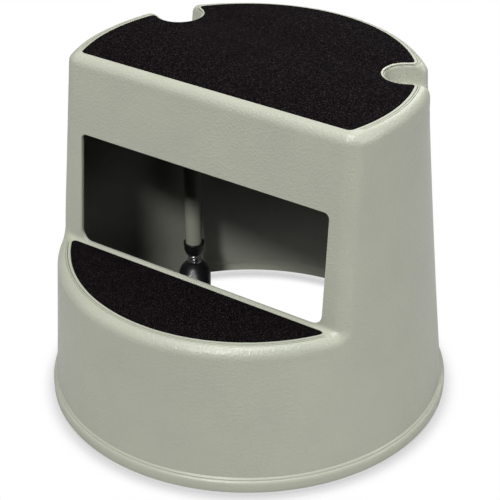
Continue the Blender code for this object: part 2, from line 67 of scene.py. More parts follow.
CORNER = 0.010                  # rounding of the riser's upright corners at the step
CORNER_GROWTH = 0.0045          # and what is added to it up to the top
CORNER_START = 0.004            # the step's rounding turns into the corner's from here
CORNER_RUN = 0.03               # over this height
TOP_RIM = 0.0085                # rounding of the upper tread's rim at the back
TOP_RIM_SIDES = 0.0030          # and what is added to it at the sides
TOP_RIM_RUN = 0.06              # the corner's rounding turns into the rim's over this length
GRIP_ANGLE = radians(28.5)      # bearing of a hand grip from the X axis
GRIP_CENTRE_R = 0.174
GRIP_RADIUS = 0.0245
GRIP_TAPER = 0.06
GRIP_DEPTH = 0.034
GRIP_REACH = 0.070
GRIP_FALL = 0.010               # fall of a grip's floor to the outside
GRIP_FLOOR_ROUND = 0.016
GRIP_LIP = 0.0042               # rounding of a grip's upper edge
GRIP_LIP_GROWTH = 0.0045        # and what is added to it towards the mouth
GRIP_LIP_START = 0.178
GRIP_LIP_RUN = 0.022
FLARE = 0.0036                  # how far the wall swells round a grip
FLARE_SPREAD = radians(16.0)
FLARE_DROP = 0.055              # the swelling starts this far below the top
FLARE_RUN = 0.045               # and is full after this height


def smooth(t):
    """Smooth step from 0 to 1."""
    t = np.clip(t, 0.0, 1.0)
    return t * t * (3.0 - 2.0 * t)


def round_max(a, b, r):
    """Intersection of two distance fields with a rounded edge."""
    return np.minimum(np.maximum(a, b), -r) + np.hypot(np.maximum(a + r, 0.0), np.maximum(b + r, 0.0))


def round_min(a, b, r):
    """Union of two distance fields with a rounded hollow edge."""
    return -round_max(-a, -b, r)


def wall_radius(z):
    """Radius of the drum's wall at a height."""
    rise = (z - GAP) / (TOP - GAP)
    return FOOT_RADIUS + (HEAD_RADIUS - FOOT_RADIUS) * rise - WAIST * rise * (1.0 - rise)


def grip_plan(ax, y):
    """Distance out along a hand grip's bearing, and distance from the grip's middle line in plan."""
    along = ax * cos(GRIP_ANGLE) + y * sin(GRIP_ANGLE)
    beside = ax * sin(GRIP_ANGLE) - y * cos(GRIP_ANGLE)
    return along, np.where(along < GRIP_CENTRE_R, np.hypot(along - GRIP_CENTRE_R, beside), np.abs(beside))


def body(x, y, z):
    """Distance field of the drum's outer form, negative in the material."""
    yc = -LEAN * (z - GAP)
    ax = np.abs(x)
    side = np.arctan2(y - yc, ax)
    flare = FLARE * np.exp(-((side - GRIP_ANGLE) / FLARE_SPREAD) ** 2) \
        * smooth((z - (TOP - FLARE_DROP)) / FLARE_RUN)
    wall = np.hypot(x, y - yc) - wall_radius(z) - flare
    riser = RISER_TOP_Y - RISER_SLOPE * (TOP - z) - y
    upper = round_max(riser, z - TOP, RISER_EDGE)
    steps = round_min(upper, z - STEP, STEP_FILLET)
    above = smooth((z - STEP - CORNER_START) / CORNER_RUN)
    corner = CORNER + CORNER_GROWTH * np.clip((z - STEP) / (TOP - STEP), 0.0, 1.0)
    back = smooth(-riser / TOP_RIM_RUN)
    rim = TOP_RIM + TOP_RIM_SIDES * np.cos(side) ** 2
    rounding = STEP_RIM * (1.0 - above) + above * (corner * (1.0 - back) + rim * back)
    out = round_max(wall, steps, rounding)
    along, notch = grip_plan(ax, y)
    plan = notch - GRIP_RADIUS + GRIP_TAPER * (TOP - z)
    floor = TOP - GRIP_DEPTH - GRIP_FALL * np.clip((along - GRIP_CENTRE_R) / GRIP_REACH, 0.0, 1.0)
    air = round_max(plan, floor - z, GRIP_FLOOR_ROUND)
    lip = GRIP_LIP + GRIP_LIP_GROWTH * smooth((along - GRIP_LIP_START) / GRIP_LIP_RUN)
    return round_max(out, -air, lip)


# corners of a grid cell, and the pairs of them that an edge joins
CORNERS = np.array([(i & 1, i >> 1 & 1, i >> 2 & 1) for i in range(8)])
CELL_EDGES = [(a, b) for a in range(8) for b in range(a + 1, 8)
              if np.abs(CORNERS[a] - CORNERS[b]).sum() == 1]


def skin(field, low, high, step):
    """Quads of a field's zero surface on a grid, every vertex drawn onto the surface itself."""
    axes = [np.arange(low[k], high[k] + step, step) for k in range(3)]
    shape = [len(axis) for axis in axes]
    grid = field(axes[0][:, None, None], axes[1][None, :, None], axes[2][None, None, :])
    grid = np.broadcast_to(grid, shape)
    inside = grid < 0.0
    cells = [n - 1 for n in shape]
    count = np.zeros(cells, np.int8)
    for dx, dy, dz in CORNERS:
        count += inside[dx:dx + cells[0], dy:dy + cells[1], dz:dz + cells[2]]
    active = (count > 0) & (count < 8)
    where = np.argwhere(active)
    values = np.stack([grid[tuple((where + c).T)] for c in CORNERS], 1)
    total = np.zeros((len(where), 3))
    hits = np.zeros(len(where))
    for a, b in CELL_EDGES:
        va, vb = values[:, a], values[:, b]
        cut = (va < 0.0) != (vb < 0.0)
        t = np.where(cut, va / np.where(cut, va - vb, 1.0), 0.0)
        point = CORNERS[a] + t[:, None] * (CORNERS[b] - CORNERS[a])
        total += np.where(cut[:, None], point, 0.0)
        hits += cut
    points = np.array(low) + (where + total / hits[:, None]) * step
    index = -np.ones(cells, np.int64)
    index[tuple(where.T)] = np.arange(len(where))
    quads = []
    for axis in range(3):
        u, v = (axis + 1) % 3, (axis + 2) % 3
        first = [slice(None)] * 3
        second = [slice(None)] * 3
        first[axis], second[axis] = slice(0, -1), slice(1, None)
        flips = inside[tuple(first)] != inside[tuple(second)]
        at = np.argwhere(flips)
        keep = (at[:, u] > 0) & (at[:, v] > 0) & (at[:, u] < cells[u]) & (at[:, v] < cells[v])
        at = at[keep]
        solid_first = inside[tuple(at.T)]
        ring = []
        for du, dv in ((-1, -1), (0, -1), (0, 0), (-1, 0)):
            cell = at.copy()
            cell[:, u] += du
            cell[:, v] += dv
            ring.append(index[tuple(cell.T)])
        quad = np.stack(ring, 1)
        quad[~solid_first] = quad[~solid_first][:, ::-1]
        quads.append(quad)
    return draw_onto(field, points, step), np.concatenate(quads)


def gradient(field, points):
    """Slope of a field at points, from differences along the three axes."""
    reach = 0.0002
    columns = []
    for k in range(3):
        offset = np.zeros(3)
        offset[k] = reach
        ahead, behind = points + offset, points - offset
        columns.append((field(*ahead.T) - field(*behind.T)) / (2.0 * reach))
    return np.stack(columns, 1)


def draw_onto(field, points, step):
    """Points moved onto a field's zero surface, each by less than a grid step at a time."""
    for _ in range(4):
        slope = gradient(field, points)
        value = field(*points.T)
        move = slope * (value / np.maximum((slope ** 2).sum(1), 0.05))[:, None]
        size = np.linalg.norm(move, axis=1)
        move *= np.minimum(1.0, 0.6 * step / np.maximum(size, 1e-12))[:, None]
        points = points - move
    return points


def in_scene(name, data):
    """New object with this data, linked to the scene."""
    obj = bpy.data.objects.new(name, data)
    bpy.context.scene.collection.objects.link(obj)
    return obj


def mesh_object(name, points, faces):
    """Object from points and faces that name them by number."""
    mesh = bpy.data.meshes.new(name)
    mesh.from_pydata([tuple(p) for p in points], [], [tuple(int(i) for i in f) for f in faces])
    return in_scene(name, mesh)


def bmesh_object(name, bm):
    """Object from a bmesh, which is freed."""
    mesh = bpy.data.meshes.new(name)
    bmesh.ops.recalc_face_normals(bm, faces=bm.faces)
    bm.to_mesh(mesh)
    bm.free()
    return in_scene(name, mesh)


def bake(obj):
    """Put an object's modifiers into its mesh."""
    bpy.context.view_layer.update()
    graph = bpy.context.evaluated_depsgraph_get()
    mesh = bpy.data.meshes.new_from_object(obj.evaluated_get(graph))
    obj.modifiers.clear()
    obj.data = mesh


def boolean(obj, other, operation):
    """Join or cut an object with another, which is used up."""
    modifier = obj.modifiers.new(operation.lower(), "BOOLEAN")
    modifier.operation = operation
    modifier.solver = "MANIFOLD"
    modifier.object = other
    bake(obj)
    bpy.data.objects.remove(other)


# ---- mats in plan ----
MAT_CORNER = 0.0042
LOW_MAT_CORNER = 0.0065
NOTCH_RADIUS = 0.029
TOP_MAT = (0.1861, -0.0042, -0.0696)      # radius, centre y, front chord
LOW_MAT = (0.2049, 0.0011, -0.1069)       # radius, centre y, back chord
TOP_START, LOW_START = (0.0, 0.18), (0.0, -0.20)    # points near the mats' edges, where contours start


def top_mat_plan(x, y):
    """Plan field of the upper mat, a D with a notch at each hand grip."""
    radius, centre_y, chord_y = TOP_MAT
    plate = round_max(np.hypot(x, y - centre_y) - radius, chord_y - y, MAT_CORNER)
    notch = grip_plan(np.abs(x), y)[1] - NOTCH_RADIUS
    return round_max(plate, -notch, MAT_CORNER)


def low_mat_plan(x, y):
    """Plan field of the lower mat, a segment of a disc."""
    radius, centre_y, chord_y = LOW_MAT
    return round_max(np.hypot(x, y - centre_y) - radius, y - chord_y, LOW_MAT_CORNER)


def contour(field, level, start, step=0.0015):
    """Closed curve on which a plan field has a value, anticlockwise, with its outward normals."""
    reach = 1e-5
    point = np.array(start, float)
    points, normals = [], []
    while True:
        for _ in range(3):
            x, y = point
            slope = np.array([field(x + reach, y) - field(x - reach, y),
                              field(x, y + reach) - field(x, y - reach)]) / (2.0 * reach)
            point = point - slope * (field(x, y) - level) / (slope @ slope)
        normal = slope / np.linalg.norm(slope)
        points.append(point)
        normals.append(normal)
        if len(points) > 20 and np.linalg.norm(point - points[0]) < 0.8 * step:
            return np.array(points), np.array(normals)
        point = point + step * np.array([-normal[1], normal[0]])


def tube(name, rings, cap=True):
    """Closed solid through rings of points, each ring closed; the ends capped or joined."""
    bm = bmesh.new()
    rows = [[bm.verts.new(tuple(p)) for p in ring] for ring in rings]
    pairs = list(zip(rows, rows[1:]))
    if not cap:
        pairs.append((rows[-1], rows[0]))
    for first, second in pairs:
        for i in range(len(first)):
            j = (i + 1) % len(first)
            bm.faces.new((first[i], first[j], second[j], second[i]))
    if cap:
        bm.faces.new(rows[0][::-1])
        bm.faces.new(rows[-1])
    return bmesh_object(name, bm)


def plan_slab(name, field, start, level, low, high):
    """Upright solid on a contour of a plan field, between two heights."""
    points, _ = contour(field, level, start)
    rings = [[(x, y, z) for x, y in points] for z in (low, high)]
    return tube(name, rings)


GROOVE_HEAD = 0.0012            # how far a line's cutter stands out of the surface
GROOVE_SHELF = 0.00004          # where its V starts above the surface,
GROOVE_SHELF_RISE = 0.0004      # and what is added to that where the line has died out
GROOVE_LIFT = 0.0003            # height of the V's tip above the surface there


def groove(name, field, start, level, plate_z, fade, width, depth):
    """Cutter for a fine V-shaped line on the outer form, at a distance round a mat."""
    points, _ = contour(field, level, start)
    count = len(points)
    space = draw_onto(body, np.column_stack([points, np.full(count, plate_z)]), 0.01)
    normal = gradient(body, space)
    normal /= np.linalg.norm(normal, axis=1)[:, None]
    along = np.roll(space, -1, 0) - np.roll(space, 1, 0)
    along /= np.linalg.norm(along, axis=1)[:, None]
    across = np.cross(along, normal)
    share = smooth(fade(space[:, 1]))[:, None]
    sink = -depth * share + GROOVE_LIFT * (1.0 - share)
    rings = []
    for i in range(count):
        p, n, b = space[i], normal[i], across[i]
        lift = float(sink[i, 0])
        shelf = GROOVE_SHELF + GROOVE_SHELF_RISE * (1.0 - float(share[i, 0]))
        rings.append([p + b * 0.5 * width + n * shelf, p + n * lift, p - b * 0.5 * width + n * shelf,
                      p - b * 0.5 * width + n * GROOVE_HEAD, p + b * 0.5 * width + n * GROOVE_HEAD])
    return tube(name, rings, cap=False)


# ---- outer form ----
# radius and height above the rim, down the outside of the base and down the cavity; None is the wall's radius
FLANGE_PROFILE = [
    (None, 0.0200), (None, 0.0172),
    (0.23120, 0.0162), (0.23175, 0.0159), (0.23210, 0.0153), (0.23220, 0.0146), (0.23220, 0.0141),
    (0.23260, 0.0140), (0.23320, 0.0137), (0.23400, 0.0129), (0.23460, 0.0117), (0.23500, 0.0100),
    (0.23500, 0.0050), (0.23500, 0.0010), (0.23470, 0.0003), (0.23400, 0.0),
]
CAVITY_PROFILE = [(0.2283, 0.0120), (0.2303, 0.0090), (0.2303, -0.0200)]
SKIN_CUT, CAVITY_CUT = 0.024, 0.020       # heights above the rim where the profiles take over from the fields
SKIN_REACH = 0.238                        # half the width of the grid
SKIN_STEP = 0.0036
CAVITY_STEP = 0.0055


def order_loop(edges):
    """Vertices of a closed chain of edges, in order."""
    links = {}
    for e in edges:
        a, b = e.verts
        links.setdefault(a, []).append(b)
        links.setdefault(b, []).append(a)
    start = edges[0].verts[0]
    chain = [start]
    before, here = None, start
    while True:
        following = [v for v in links[here] if v is not before]
        before, here = here, following[0]
        if here is start:
            return chain
        chain.append(here)


def drum_solid(name, field, step, cut_height, foot):
    """Closed solid of a field above a height, carried down from there by foot rings."""
    cut_z = GAP + cut_height
    low = (-SKIN_REACH, -SKIN_REACH, cut_z - 3.0 * step)
    points, quads = skin(field, low, (SKIN_REACH, SKIN_REACH, TOP + 2.0 * step), step)
    obj = mesh_object(name, points, quads)
    bm = bmesh.new()
    bm.from_mesh(obj.data)
    bpy.data.objects.remove(obj)
    bmesh.ops.bisect_plane(bm, geom=bm.verts[:] + bm.edges[:] + bm.faces[:], dist=1e-6,
                           plane_co=(0, 0, cut_z), plane_no=(0, 0, -1), clear_outer=True)
    loop = order_loop([e for e in bm.edges if e.is_boundary])
    angles = [np.arctan2(vert.co.y + LEAN * cut_height, vert.co.x) for vert in loop]
    previous = loop
    for radius, height in foot:
        centre_y = 0.0
        if radius is None:
            radius = wall_radius(GAP + height)
            centre_y = -LEAN * height
        ring = [bm.verts.new((radius * cos(a), centre_y + radius * sin(a), GAP + height))
                for a in angles]
        for i in range(len(loop)):
            j = (i + 1) % len(loop)
            bm.faces.new((previous[i], previous[j], ring[j], ring[i]))
        previous = ring
    bm.faces.new(previous)
    return bmesh_object(name, bm)


def inner(x, y, z):
    """Distance field of the space inside the drum."""
    return body(x, y, z) + WALL


shell = drum_solid("shell_skin", body, SKIN_STEP, SKIN_CUT, FLANGE_PROFILE)
cavity = drum_solid("cavity", inner, CAVITY_STEP, CAVITY_CUT, CAVITY_PROFILE)
boolean(shell, cavity, "DIFFERENCE")


def lathe(name, profile, sides, closed=False):
    """Solid turned about Z from (radius, z) points down its outer side; closed joins last to first."""
    rings = []
    for step in range(sides):
        turn = 2.0 * pi * step / sides
        rings.append([(r * cos(turn), r * sin(turn), z) for r, z in profile])
    bm = bmesh.new()
    rows = []
    top_pole = bm.verts.new((0, 0, profile[0][1])) if not closed and profile[0][0] == 0 else None
    low_pole = bm.verts.new((0, 0, profile[-1][1])) if not closed and profile[-1][0] == 0 else None
    first = 1 if top_pole else 0
    last = len(profile) - 1 if low_pole else len(profile)
    for ring in rings:
        rows.append([bm.verts.new(p) for p in ring[first:last]])
    for i in range(sides):
        a, b = rows[i], rows[(i + 1) % sides]
        for j in range(len(a) - 1):
            bm.faces.new((a[j], a[j + 1], b[j + 1], b[j]))
        if closed:
            bm.faces.new((a[-1], a[0], b[0], b[-1]))
        else:
            bm.faces.new((top_pole, a[0], b[0]))
            bm.faces.new((low_pole, b[-1], a[-1]))
    return bmesh_object(name, bm)


def rod(name, radius, low, high, sides):
    """Upright cylinder between two heights."""
    return lathe(name, [(0.0, high), (radius, high), (radius, low), (0.0, low)], sides)


def move_to(obj, spot):
    """Move an object's mesh sideways to a spot."""
    obj.data.transform(Matrix.Translation((spot.x, spot.y, 0.0)))
    return obj


def centre_of(node):
    """Middle of a node's box at rest."""
    low_corner, high_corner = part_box(node)
    return 0.5 * (low_corner + high_corner)


CASTERS = ("left_rear", "right_rear", "front")
HEADINGS = {"left_rear": -59.0, "right_rear": -125.0, "front": 60.0}      # degrees of swivel at rest
SOCKET_RADIUS = 0.015
SOCKET_DEPTH = 0.024
SOCKET_OVERLAP = 0.0065         # height of a socket's closed end, which runs into the plate above it
POST_RADIUS = 0.0105
POST_BORE = 0.0085
CLEAR = 0.0003
SCREW_HOLE = 0.0021


def screw_hole(spot, roof, length):
    """Cutter for the post screw's hole, from the post's middle line towards the drum's."""
    hole = rod("hole", SCREW_HOLE, 0.0, length, 20)
    towards = Vector((-spot.x, -spot.y, 0.0)).normalized()
    hole.data.transform(Matrix.Translation((spot.x, spot.y, roof - 0.5 * SOCKET_DEPTH))
                        @ towards.to_track_quat("Z", "Y").to_matrix().to_4x4())
    return hole


for caster in CASTERS:
    spot = centre_of(caster + "_post")
    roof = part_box(caster + "_post")[1].z + CLEAR
    boss = move_to(rod("boss", SOCKET_RADIUS, roof - SOCKET_DEPTH, roof + SOCKET_OVERLAP, 48), spot)
    boolean(shell, boss, "UNION")
    bore = move_to(rod("bore", POST_RADIUS + CLEAR, roof - SOCKET_DEPTH - 0.01, roof, 48), spot)
    boolean(shell, bore, "DIFFERENCE")
    boolean(shell, screw_hole(spot, roof, 0.03), "DIFFERENCE")

# ---- window, mat recesses and lines ----
WINDOW_HALF = 0.1645
WINDOW_TOP = GAP + 0.3084
WINDOW_SILL = STEP + 0.001
WINDOW_TOP_CORNER = 0.006
WINDOW_LOW_CORNER = 0.013
SILL_EASE = 0.0005              # most that the sill may go down as the window widens
WINDOW_RINGS = ((-0.05, 0.0008), (-0.0002, 0.0008), (0.0003, 0.0004), (0.0010, 0.0),
                (0.05, 0.0))    # distance behind the riser's face, and how much wider the window is there


def corner_points(cx, cz, r, start, steps=8):
    """Quarter of a circle, from one angle in degrees."""
    return [(cx + r * cos(radians(start + 90.0 * k / steps)), cz + r * sin(radians(start + 90.0 * k / steps)))
            for k in range(steps + 1)]


def window_outline(grow):
    """Window's outline seen from the front as (x, z), wider by grow."""
    half, top, sill = WINDOW_HALF + grow, WINDOW_TOP + grow, WINDOW_SILL - min(grow, SILL_EASE)
    high_r, low_r = WINDOW_TOP_CORNER + grow, WINDOW_LOW_CORNER + grow
    return (corner_points(half - high_r, top - high_r, high_r, 0.0)
            + corner_points(-half + high_r, top - high_r, high_r, 90.0)
            + corner_points(-half + low_r, sill + low_r, low_r, 180.0)
            + corner_points(half - low_r, sill + low_r, low_r, 270.0))


def window_solid():
    """Cutter that opens the riser; it widens a little at the riser's face to ease the edge."""
    rings = []
    for inset, grow in WINDOW_RINGS:
        rings.append([(x, RISER_TOP_Y - RISER_SLOPE * (TOP - z) + inset, z) for x, z in window_outline(grow)])
    return tube("window", rings)


MAT_GAP = 0.0005
RECESS_DEPTH = 0.0018
LINES = ((0.0038, 0.0011, 0.0022), (0.0060, 0.0011, 0.0011))     # distance from the mat, width, depth


def top_fade(y):
    """Share of a line's depth round the upper mat: it dies out towards the riser."""
    return (y - TOP_MAT[2] - 0.002) / 0.012


def low_fade(y):
    """Share of a line's depth round the lower mat: it dies out towards the window."""
    return (LOW_MAT[2] - 0.001 - y) / 0.008


boolean(shell, window_solid(), "DIFFERENCE")
for plan, start, plate_z in ((top_mat_plan, TOP_START, TOP), (low_mat_plan, LOW_START, STEP)):
    recess = plan_slab("recess", plan, start, MAT_GAP, plate_z - RECESS_DEPTH, plate_z + 0.01)
    boolean(shell, recess, "DIFFERENCE")
for distance, width, depth in LINES:
    for plan, start, plate_z, fade in ((top_mat_plan, TOP_START, TOP, top_fade),
                                       (low_mat_plan, LOW_START, STEP, low_fade)):
        boolean(shell, groove("line", plan, start, distance, plate_z, fade, width, depth), "DIFFERENCE")


FLANGE_TOP = GAP + 0.0172       # below this the outer form is turned, not from the field
ON_SURFACE = 0.00012            # a vertex this near to a field's surface counts as on it
PLATE_BAND = 0.012              # a vertex this near to a tread's height counts as on its plate
PLAIN_BORDER = LINES[1][0] + 0.0002     # width of the band without pebbles round a mat


def shade_by_field(obj):
    """Normals from the drum's fields where a face follows one, plain smooth ones elsewhere.

    Two attributes go to the material: "grain", the strength of the moulding's pebbles, and "inside", where
    the material darkens the colour as painted shade.
    """
    mesh = obj.data
    mesh.shade_smooth()
    mesh.set_sharp_from_angle(angle=radians(35.0))
    count = len(mesh.vertices)
    points = np.empty(count * 3, np.float32)
    mesh.vertices.foreach_get("co", points)
    points = points.reshape(-1, 3).astype(float)
    loops = len(mesh.loops)
    vertex = np.empty(loops, np.int32)
    mesh.loops.foreach_get("vertex_index", vertex)
    polygons = len(mesh.polygons)
    totals = np.empty(polygons, np.int32)
    mesh.polygons.foreach_get("loop_total", totals)
    facing = np.empty(polygons * 3, np.float32)
    mesh.polygons.foreach_get("normal", facing)
    facing = np.repeat(facing.reshape(-1, 3), totals, 0)
    normals = np.empty(loops * 3, np.float32)
    mesh.corner_normals.foreach_get("vector", normals)
    normals = normals.reshape(-1, 3).astype(float)
    value = body(*points.T)
    slope = gradient(body, points)
    slope /= np.maximum(np.linalg.norm(slope, axis=1), 1e-9)[:, None]
    above = points[:, 2] > FLANGE_TOP
    for level, sign in ((0.0, 1.0), (-WALL, -1.0)):
        on = (np.abs(value - level) < ON_SURFACE) & above
        mask = on[vertex] & ((facing * slope[vertex]).sum(1) * sign > 0.85)
        normals[mask] = slope[vertex][mask] * sign
    mesh.normals_split_custom_set(normals.tolist())
    grain = np.ones(count, np.float32)
    near_top = np.abs(points[:, 2] - TOP) < PLATE_BAND
    near_step = (np.abs(points[:, 2] - STEP) < PLATE_BAND) & (points[:, 1] < -0.06)
    plain = (near_top & (top_mat_plan(points[:, 0], points[:, 1]) < PLAIN_BORDER)) \
        | (near_step & (low_mat_plan(points[:, 0], points[:, 1]) < PLAIN_BORDER))
    grain[plain] = 0.0
    grain[points[:, 2] < FLANGE_TOP - 0.0007] = 0.3
    inside = (value < -0.5 * WALL).astype(np.float32)
    grain[inside > 0.5] = 0.15
    for name, numbers in (("grain", grain), ("inside", inside)):
        mesh.attributes.new(name, "FLOAT", "POINT").data.foreach_set("value", numbers)


shade_by_field(shell)
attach(shell, "drum")
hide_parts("shell")


# ---- mats ----
def mat_piece(name, node, field, start):
    """Mat with a soft upper edge, in its recess."""
    low_corner, high_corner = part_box(node)
    points, normals = contour(field, 0.0, start)
    rings = []
    for inset, z in ((0.0, low_corner.z), (0.0, high_corner.z - 0.0005),
                     (0.00012, high_corner.z - 0.0002), (0.0005, high_corner.z)):
        ring = points - normals * inset
        rings.append([(x, y, z) for x, y in ring])
    obj = tube(name, rings)
    obj.data.shade_smooth()
    obj.data.set_sharp_from_angle(angle=radians(50.0))
    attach(obj, "drum")
    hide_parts(node)
    return obj


mats = [mat_piece("upper_mat", "upper_tread_mat", top_mat_plan, TOP_START),
        mat_piece("lower_mat", "lower_tread_mat", low_mat_plan, LOW_START)]


# ---- casters ----
def dress(obj, body_name, node, angle=40.0):
    """Smooth a piece, name it after its node, and say what it rides on and replaces."""
    obj.data.shade_smooth()
    obj.data.set_sharp_from_angle(angle=radians(angle))
    obj.name = node + "_finished"
    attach(obj, body_name)
    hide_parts(node)
    return obj


def bend_points(cx, cz, r, start, end, steps=5):
    """Arc in a profile, from one angle to another, in degrees from the radius direction."""
    return [(cx + r * cos(radians(start + (end - start) * k / steps)),
             cz + r * sin(radians(start + (end - start) * k / steps))) for k in range(steps + 1)]


TRAIL = 0.016                   # the axle's distance from the swivel's middle line
WHEEL_RADIUS = 0.018
WHEEL_HALF = 0.00625            # half a wheel's width
WHEEL_ROUND = 0.003
AXLE_BORE = 0.0023
AXLE_REACH = 0.0178             # half the length of the axle's bore
HOOD_RADIUS = 0.0205
HOOD_ROUND = 0.007
HOOD_FOOT = 0.010
DOME_RAISE = 0.0008             # the dome stands this far above the hood's flat top before the cut
POCKET_RADIUS = 0.0192
POCKET_SIDES = (0.0026, 0.0186)      # a wheel pocket's two sides, from the hood's middle
STEM_HOLE = 0.0043
STEM_HOLE_FLOOR = 0.0397
CUP_WEB = (0.0775, 0.0800)      # heights of the cup's inner web, which guides the stem
CUP_RADIUS = 0.0126
CUP_ROUND = 0.0007
SPRING_WIRE, SPRING_COIL, SPRING_TURNS = 0.0007, 0.0078, 3.5
AXLE_FRAME = Matrix.Translation((TRAIL, 0.0, WHEEL_RADIUS)) @ Matrix.Rotation(-0.5 * pi, 4, "X")


def ring_points(profile, sides, matrix):
    """Points of a turned profile, placed by a matrix."""
    return [matrix @ Vector((r * cos(2.0 * pi * k / sides), r * sin(2.0 * pi * k / sides), z))
            for k in range(sides) for r, z in profile]


def hull(points):
    """Convex hull of points, as a bmesh."""
    bm = bmesh.new()
    for point in points:
        bm.verts.new(point)
    made = bmesh.ops.convex_hull(bm, input=bm.verts)
    spare = [item for item in made["geom_interior"] if isinstance(item, bmesh.types.BMVert)]
    bmesh.ops.delete(bm, geom=spare, context="VERTS")
    return bm


def hood_piece(caster, spot, top_z):
    """Hood: a dome drawn over a rounded drum round the wheels, with a pocket for each wheel."""
    dome_z = top_z - HOOD_RADIUS + DOME_RAISE
    points = [Vector((0.0, 0.0, dome_z)) + HOOD_RADIUS * Vector((cos(a) * cos(e), sin(a) * cos(e), sin(e)))
              for a in np.linspace(0.0, 2.0 * pi, 48, endpoint=False)
              for e in np.linspace(0.0, 0.5 * pi, 14)[:-1]]
    roll = bend_points(HOOD_RADIUS - HOOD_ROUND, HOOD_RADIUS - HOOD_ROUND, HOOD_ROUND, 90.0, 0.0, 6)
    points += ring_points(roll + [(r, -z) for r, z in roll], 48, AXLE_FRAME)
    bm = hull(points)
    for height, facing in ((top_z, 1.0), (HOOD_FOOT, -1.0)):
        cut = bmesh.ops.bisect_plane(bm, geom=bm.verts[:] + bm.edges[:] + bm.faces[:],
                                     plane_co=(0.0, 0.0, height), plane_no=(0.0, 0.0, facing),
                                     clear_outer=True)
        edges = [item for item in cut["geom_cut"] if isinstance(item, bmesh.types.BMEdge)]
        bmesh.ops.edgeloop_fill(bm, edges=edges)
    hood = bmesh_object("hood", bm)
    for side in (-1, 1):
        pocket = []
        for drop in (0.0, 0.03):
            place = Matrix.Translation((0.0, 0.0, -drop)) @ AXLE_FRAME
            pocket += ring_points([(POCKET_RADIUS, side * z) for z in POCKET_SIDES], 40, place)
        boolean(hood, bmesh_object("pocket", hull(pocket)), "DIFFERENCE")
    boolean(hood, rod("bore", STEM_HOLE, STEM_HOLE_FLOOR, 0.08, 32), "DIFFERENCE")
    axle_bore = rod("bore", AXLE_BORE, -AXLE_REACH, AXLE_REACH, 24)
    axle_bore.data.transform(AXLE_FRAME)
    boolean(hood, axle_bore, "DIFFERENCE")
    hood.data.transform(Matrix.Translation((spot.x, spot.y, 0.0))
                        @ Matrix.Rotation(radians(HEADINGS[caster]), 4, "Z"))
    return dress(hood, caster + "_swivel_fork", caster + "_hood")


def wheel_piece(caster, side):
    """Wheel with a hub, a dished web and a rounded tread."""
    node = caster + "_" + side + "_wheel"
    half = WHEEL_HALF
    tread = bend_points(WHEEL_RADIUS - WHEEL_ROUND, half - WHEEL_ROUND, WHEEL_ROUND, 90.0, 0.0, 6)
    upper = [(AXLE_BORE, half), (0.0048, half), (0.0050, half - 0.0002), (0.0052, half - 0.0025),
             (0.0120, half - 0.0025), (0.0125, half - 0.0020), (0.0127, half)] + tread
    wheel = lathe("wheel", upper + [(r, -z) for r, z in reversed(upper)], 56, closed=True)
    centre = centre_of(node)
    turn = Matrix.Rotation(radians(HEADINGS[caster]), 4, "Z") @ Matrix.Rotation(-0.5 * pi, 4, "X")
    wheel.data.transform(Matrix.Translation(centre) @ turn)
    return dress(wheel, caster + "_" + side + "_roller", node)


def cup_piece(caster, spot):
    """Guide cup: a sleeve round the post's end, a web that guides the stem, and a skirt over the spring."""
    low_corner, high_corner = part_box(caster + "_guide_cup")
    top, foot, web = high_corner.z - 0.0045, low_corner.z + 0.0020, CUP_WEB
    profile = [(POST_RADIUS + CLEAR, top), (CUP_RADIUS, top)]
    profile += bend_points(CUP_RADIUS, top - CUP_ROUND, CUP_ROUND, 90.0, 0.0, 4)[1:]
    profile += [(0.01325, top - 0.0035), (0.0128, top - 0.0040), (0.0128, web[0] + 0.0010),
                (0.0124, web[0]), (0.0112, foot + 0.0006), (0.0106, foot), (0.0092, foot), (0.0092, web[0]),
                (STEM_HOLE, web[0]), (STEM_HOLE, web[1]), (POST_RADIUS + CLEAR, web[1])]
    cup = move_to(lathe("cup", profile, 56, closed=True), spot)
    return dress(cup, "drum", caster + "_guide_cup")


def post_piece(caster, spot):
    """Post: a tube with its screw hole."""
    low_corner, high_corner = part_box(caster + "_post")
    top, foot = high_corner.z, low_corner.z
    profile = [(POST_RADIUS - 0.0003, top), (POST_RADIUS, top - 0.0003), (POST_RADIUS, foot + 0.0003),
               (POST_RADIUS - 0.0003, foot), (POST_BORE, foot), (POST_BORE, top)]
    post = move_to(lathe("post", profile, 56, closed=True), spot)
    boolean(post, screw_hole(spot, top + CLEAR, 0.02), "DIFFERENCE")
    return dress(post, "drum", caster + "_post")


def spring_piece(caster, spot):
    """Coil spring, with a mesh of its own; the real one shortens towards the cup as the stem slides up."""
    low_corner, high_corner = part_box(caster + "_spring")
    wire, sides = SPRING_WIRE, 10
    first, last = low_corner.z + wire, high_corner.z - wire
    steps = int(SPRING_TURNS * 28)
    rings = []
    for k in range(steps + 1):
        angle = 2.0 * pi * SPRING_TURNS * k / steps
        radial = Vector((cos(angle), sin(angle), 0.0))
        centre = radial * SPRING_COIL + Vector((spot.x, spot.y, first + (last - first) * k / steps))
        rings.append([centre + radial * wire * cos(2.0 * pi * j / sides)
                      + Vector((0.0, 0.0, wire * sin(2.0 * pi * j / sides))) for j in range(sides)])
    spring = dress(tube("spring", rings), "drum", caster + "_spring", 60.0)
    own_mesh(spring)
    return spring


caster_pieces = {}
for caster in CASTERS:
    spot = centre_of(caster + "_post")
    caster_pieces[caster] = {
        "hood": hood_piece(caster, spot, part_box(caster + "_hood")[1].z),
        "left_wheel": wheel_piece(caster, "left"),
        "right_wheel": wheel_piece(caster, "right"),
        "guide_cup": cup_piece(caster, spot),
        "post": post_piece(caster, spot),
        "spring": spring_piece(caster, spot),
    }


# ---- materials ----
def srgb(r, g, b):
    """Linear colour from display values of 0 to 255."""
    return tuple((c / 255.0 / 12.92) if c / 255.0 <= 0.04045 else ((c / 255.0 + 0.055) / 1.055) ** 2.4
                 for c in (r, g, b))


